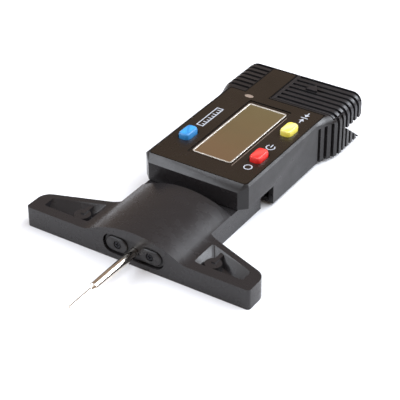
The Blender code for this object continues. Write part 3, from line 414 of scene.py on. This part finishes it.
Y_AXIS = 1
Z_AXIS = 2
CROSS_DEPTH = 0.35 * MM
CROSS_WIDTH_IN_RADII = 0.30
CROSS_LENGTH_IN_RADII = 1.3


def box_object(name, centre, size):
    """A box in the scene."""
    solid = bmesh.new()
    bmesh.ops.create_cube(solid, size=1.0, matrix=Matrix.Translation(centre) @ Matrix.Diagonal((*size, 1.0)))
    mesh = bpy.data.meshes.new(name)
    solid.to_mesh(mesh)
    solid.free()
    box = bpy.data.objects.new(name, mesh)
    bpy.context.scene.collection.objects.link(box)
    return box


def crossed_mesh(node, axis):
    """The screw's mesh with a cross cut into its head, whose face is its lowest point on the axis."""
    low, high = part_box(node)
    radius = (high.x - low.x) / 2.0
    place = (low + high) / 2.0
    place[axis] = low[axis]
    screw = bpy.data.objects.new("screw_blank", clean_copy(node))
    bpy.context.scene.collection.objects.link(screw)
    blades = []
    for long_side in (side for side in range(3) if side != axis):
        size = Vector((1.0, 1.0, 1.0)) * radius * CROSS_WIDTH_IN_RADII
        size[long_side] = radius * CROSS_LENGTH_IN_RADII
        size[axis] = 2.0 * CROSS_DEPTH
        blade = box_object("cross_blade", place, size)
        cut = screw.modifiers.new("cross", "BOOLEAN")
        cut.object = blade
        blades.append(blade)
    evaluated = screw.evaluated_get(bpy.context.evaluated_depsgraph_get())
    mesh = bpy.data.meshes.new_from_object(evaluated)
    for thing in (screw, *blades):
        bpy.data.objects.remove(thing)
    return mesh


def make_pieces():
    """Every CAD node but the window, as a finer copy of itself. The plug's screws lie along y."""
    screws = [node for node in frame["nodes"] if "screw" in node]
    for node in screws:
        axis = Y_AXIS if "plug" in node else Z_AXIS
        round_edges(show_node(node, crossed_mesh(node, axis)), *SCREW_EDGE)
    for node in frame["nodes"]:
        if node == "face_overlay":
            show_node(node, clean_copy(node, merge_flats=False)).data.shade_flat()
        elif node not in screws and node != "display_window":
            round_edges(show_node(node, clean_copy(node)), *EDGES.get(node, USUAL_EDGE))


# Outlines, and the flat solids made from them

CORNER_STEPS = 6
RING_STEPS = 32


def rounded_rectangle(x_half, front, rear, radius):
    """A rectangle about x = 0 with round corners."""
    points = []
    centres = ((x_half - radius, rear - radius), (-x_half + radius, rear - radius),
               (-x_half + radius, front + radius), (x_half - radius, front + radius))
    for quarter, (x, y) in enumerate(centres):
        for step in range(CORNER_STEPS + 1):
            angle = math.pi / 2.0 * (quarter + step / CORNER_STEPS)
            points.append((x + radius * math.cos(angle), y + radius * math.sin(angle)))
    return points


def bar(centre, width, length):
    """A rectangle: width along x, length along y."""
    x, y = centre
    return [(x - width / 2, y - length / 2), (x + width / 2, y - length / 2),
            (x + width / 2, y + length / 2), (x - width / 2, y + length / 2)]


def arc(centre, half, start=0.0, sweep=math.tau):
    """Points on an ellipse of these half widths, from an angle through a sweep."""
    x, y = centre
    spaces = RING_STEPS if sweep == math.tau else RING_STEPS - 1
    angles = [start + sweep * step / spaces for step in range(RING_STEPS)]
    return [(x + half[0] * math.cos(angle), y + half[1] * math.sin(angle)) for angle in angles]


def slab_mesh(name, shapes, low, high):
    """Flat solids between two levels. Each shape is an outline and its hole, with equal counts, or None."""
    solid = bmesh.new()
    for outline, hole in shapes:
        lower = [solid.verts.new((x, y, low)) for x, y in outline]
        upper = [solid.verts.new((x, y, high)) for x, y in outline]
        rings = [(lower, upper)]
        if hole:
            inner_lower = [solid.verts.new((x, y, low)) for x, y in hole]
            inner_upper = [solid.verts.new((x, y, high)) for x, y in hole]
            rings += [(upper, inner_upper), (inner_upper, inner_lower), (inner_lower, lower)]
        else:
            solid.faces.new(lower)
            solid.faces.new(upper)
        for first, second in rings:
            for step in range(len(outline)):
                after = (step + 1) % len(outline)
                solid.faces.new((first[step], first[after], second[after], second[step]))
    bmesh.ops.recalc_face_normals(solid, faces=solid.faces)
    mesh = bpy.data.meshes.new(name)
    solid.to_mesh(mesh)
    solid.free()
    return mesh


# The window

WINDOW_CORNER = 0.6 * MM
BORDER_EDGE = 0.06 * MM
BEZEL_HALF = 6.55 * MM
BEZEL_WIDTH = 0.45 * MM
BEZEL_END_MARGIN = 1.15 * MM
BEZEL_CORNER = 0.9 * MM
BEZEL_RISE = 0.05 * MM
BEZEL_EDGE = 0.08 * MM
PANE_SUNK = 0.12 * MM
PANE_EDGE = 0.03 * MM


def make_window():
    """The window as a dark border, a silver line round the display, and the pane inside it."""
    front = WINDOW_LOW.y + BEZEL_END_MARGIN
    rear = WINDOW_HIGH.y - BEZEL_END_MARGIN
    outer = rounded_rectangle(WINDOW_HIGH.x, WINDOW_LOW.y, WINDOW_HIGH.y, WINDOW_CORNER)
    middle = rounded_rectangle(BEZEL_HALF, front, rear, BEZEL_CORNER)
    inner = rounded_rectangle(BEZEL_HALF - BEZEL_WIDTH, front + BEZEL_WIDTH, rear - BEZEL_WIDTH,
                              BEZEL_CORNER - BEZEL_WIDTH)
    top = WINDOW_HIGH.z
    layers = (
        ("window_border", (outer, middle), top, "window_acrylic", BORDER_EDGE),
        ("window_bezel", (middle, inner), top + BEZEL_RISE, "bezel_silver", BEZEL_EDGE),
        ("window_pane", (inner, None), top - PANE_SUNK, "display_glass", PANE_EDGE),
    )
    for name, shape, high, slot, edge in layers:
        mesh = slab_mesh(name, [shape], WINDOW_LOW.z, high)
        round_edges(show(name, mesh, "display_module", slot, ("display_window",)), edge)


# Signs printed beside the keys, a dull pale spot behind the window, and a painted highlight beside the
# window

PRINT_THICK = 0.03 * MM
LINE = 0.34 * MM
RULER_SIZE = (2.4 * MM, 11.6 * MM)
RULER_SPACES = 9
TICK_LENGTHS = (1.15 * MM, 0.75 * MM)
TICK_GAP = 0.02 * MM
RULER_AFTER_KEY = 2.0 * MM
ARROW_HALF = 0.85 * MM
ARROW_HEAD = 1.3 * MM
ARROW_LENGTH = 2.6 * MM
ARROW_TIP_GAP = 0.55 * MM
ZERO_LINE = 2.3 * MM
ZERO_AFTER_KEY = 5.0 * MM
ON_RADIUS = 1.25 * MM
ON_GAP = math.radians(80.0)
ON_BAR = 1.6 * MM
ON_AFTER_KEY = 2.4 * MM
OFF_RADIUS = 1.15 * MM
OFF_BEFORE_KEY = 2.0 * MM
DOT_X = -8.7 * MM
DOT_BEHIND_WINDOW = 1.9 * MM
DOT_HALF = (1.45 * MM, 0.85 * MM)
# A thin pale line beside the window: a painted highlight of the window recess's edge
PAINTED_HIGHLIGHT_SIZE = (0.14 * MM, 30.8 * MM)
PAINTED_HIGHLIGHT_OUT = 0.6 * MM


def ruler_sign(x, front):
    """A ruler: a frame with long and short ticks by turns along one side."""
    width, length = RULER_SIZE
    centre = (x, front + length / 2)
    shapes = [(bar(centre, width, length), bar(centre, width - 2 * LINE, length - 2 * LINE))]
    side = x + width / 2 - LINE - TICK_GAP
    for tick in range(1, RULER_SPACES):
        reach = TICK_LENGTHS[tick % 2]
        shapes.append((bar((side - reach / 2, front + length * tick / RULER_SPACES), reach, LINE), None))
    return shapes


def arrow(x, tip, way):
    """An arrow along y with its tip at the given place, and its shaft on the side that way says."""
    root = tip + way * ARROW_HEAD
    tail = tip + way * ARROW_LENGTH
    half = LINE / 2
    return [(x, tip), (x + ARROW_HALF, root), (x + half, root), (x + half, tail),
            (x - half, tail), (x - half, root), (x - ARROW_HALF, root)]


def zero_sign(x, y):
    """Two arrows that meet at a line."""
    arrows = [(arrow(x, y + way * ARROW_TIP_GAP, way), None) for way in (-1, 1)]
    return [(bar((x, y), ZERO_LINE, LINE), None), *arrows]


def on_sign(x, y):
    """A bar in a ring that is open at its rear."""
    outer = ON_RADIUS + LINE / 2
    inner = ON_RADIUS - LINE / 2
    start = math.pi / 2 + ON_GAP / 2
    sweep = math.tau - ON_GAP
    outline = arc((x, y), (outer, outer), start, sweep) + arc((x, y), (inner, inner), start, sweep)[::-1]
    return [(outline, None), (bar((x, y + ON_BAR / 2), LINE, ON_BAR), None)]


def off_sign(x, y):
    """A plain ring."""
    outer = OFF_RADIUS + LINE / 2
    inner = OFF_RADIUS - LINE / 2
    return [(arc((x, y), (outer, outer)), arc((x, y), (inner, inner)))]


def pale_spot_and_painted_highlight():
    """A dull pale oval behind the window, and a thin pale line beside the window that is a painted highlight
    of the window recess's edge.
    """
    dot = arc((DOT_X, WINDOW_HIGH.y + DOT_BEHIND_WINDOW), DOT_HALF)
    # The line is a painted highlight, where the edge of the window's recess would catch light
    highlight_centre = (WINDOW_HIGH.x + PAINTED_HIGHLIGHT_OUT, WINDOW_LOW.y + PAINTED_HIGHLIGHT_SIZE[1] / 2)
    return [(dot, None), (bar(highlight_centre, *PAINTED_HIGHLIGHT_SIZE), None)]


def make_prints():
    """The signs on the film, each placed from the key that it belongs to, and the pale spot and painted
    highlight placed from the window.
    """
    unit_low, unit_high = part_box("unit_button")
    power_low, power_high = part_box("power_button")
    zero_low, zero_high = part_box("zero_button")
    left = (unit_low.x + unit_high.x) / 2
    right = (zero_low.x + zero_high.x) / 2
    prints = {
        "unit_sign": (ruler_sign(left, unit_high.y + RULER_AFTER_KEY), "print_ink"),
        "zero_sign": (zero_sign(right, zero_high.y + ZERO_AFTER_KEY), "print_ink"),
        "on_sign": (on_sign(right, power_high.y + ON_AFTER_KEY), "print_ink"),
        "off_sign": (off_sign(right, power_low.y - OFF_BEFORE_KEY), "print_ink"),
        "pale_spot_and_painted_highlight": (pale_spot_and_painted_highlight(), "dull_spot_and_painted_highlight"),
    }
    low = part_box("face_overlay")[1].z
    for name, (shapes, slot) in prints.items():
        show(name, slab_mesh(name, shapes, low, low + PRINT_THICK), "display_module", slot)


# Camera and studio: an azimuth of 0 is the foot's side, and angles are degrees

CAMERA_AZIMUTH = 33.35
CAMERA_ELEVATION = 33.7
CAMERA_ROLL = 0.6
CAMERA_DISTANCE = 0.4049
CAMERA_LENS = 127.0
CAMERA_NEAR = 0.01
AIM_POINT = Vector((-0.9 * MM, 1.4 * MM, 1.7 * MM))

COOL = (0.88, 0.93, 1.0)
LIGHTS = {
    "overhead": {"azimuth": 15.0, "elevation": 76.0, "distance": 1.1, "size": (1.2, 1.2), "power": 3.4},
    "right_fill": {"azimuth": 118.0, "elevation": 52.0, "distance": 0.8, "size": (0.9, 0.9), "power": 8.5},
    "front_left": {"azimuth": -50.0, "elevation": 37.0, "distance": 0.9, "size": (0.8, 0.38), "power": 5.8},
    "back_right": {"azimuth": 150.0, "elevation": 32.0, "distance": 0.9, "size": (0.7, 0.32), "power": 5.8},
}
WARM_SURROUND = (0.56, 0.42, 0.32, 1.0)
SURROUND_STRENGTH = 0.55

FLOOR_DROP = 0.05 * MM
FLOOR_HALF = 4.0
FLOOR_COLOURS = ((0.87, 0.88, 0.90), (0.90, 0.91, 0.93))


def direction(azimuth, elevation):
    """Unit vector towards a place seen from the aim point."""
    turn = math.radians(azimuth)
    rise = math.radians(elevation)
    return Vector((math.sin(turn) * math.cos(rise), -math.cos(turn) * math.cos(rise), math.sin(rise)))


def add_camera():
    """The camera of the photo, which looks at the aim point."""
    data = bpy.data.cameras.new("camera")
    data.lens = CAMERA_LENS
    data.clip_start = CAMERA_NEAR
    camera = bpy.data.objects.new("camera", data)
    bpy.context.scene.collection.objects.link(camera)
    back = direction(CAMERA_AZIMUTH, CAMERA_ELEVATION)
    facing = back.to_track_quat("Z", "Y").to_matrix().to_4x4()
    roll = Matrix.Rotation(math.radians(-CAMERA_ROLL), 4, "Z")
    camera.matrix_world = Matrix.Translation(AIM_POINT + back * CAMERA_DISTANCE) @ facing @ roll
    bpy.context.scene.camera = camera


def add_area_light(name, azimuth, elevation, distance, size, power):
    """A cool rectangular light that faces the aim point."""
    data = bpy.data.lights.new(name, "AREA")
    data.shape = "RECTANGLE"
    data.size, data.size_y = size
    data.energy = power
    data.color = COOL
    light = bpy.data.objects.new(name, data)
    bpy.context.scene.collection.objects.link(light)
    back = direction(azimuth, elevation)
    light.location = AIM_POINT + back * distance
    light.rotation_mode = "QUATERNION"
    light.rotation_quaternion = back.to_track_quat("Z", "Y")


def add_studio():
    """The lights and a warm, dim surround."""
    for name, settings in LIGHTS.items():
        add_area_light(name, **settings)
    world = bpy.data.worlds.new("studio")
    world.use_nodes = True
    backdrop = world.node_tree.nodes["Background"]
    backdrop.inputs["Color"].default_value = WARM_SURROUND
    backdrop.inputs["Strength"].default_value = SURROUND_STRENGTH
    bpy.context.scene.world = world
    bpy.context.scene.view_settings.view_transform = "Standard"


def add_floor():
    """A wide white floor just under the gauge."""
    mesh = bpy.data.meshes.new("floor")
    corners = [(-1, -1), (1, -1), (1, 1), (-1, 1)]
    mesh.from_pydata([(x * FLOOR_HALF, y * FLOOR_HALF, -FLOOR_DROP) for x, y in corners], [], [(0, 1, 2, 3)])
    floor = bpy.data.objects.new("floor", mesh)
    bpy.context.scene.collection.objects.link(floor)
    graph = Graph("floor")
    graph.drive("Base Color", graph.blend(graph.patchy(3.0, low=0.0, high=1.0), *FLOOR_COLOURS))
    graph.set(Roughness=0.75)
    mesh.materials.append(graph.material)


add_camera()
add_studio()
add_floor()
make_pieces()
make_window()
make_prints()
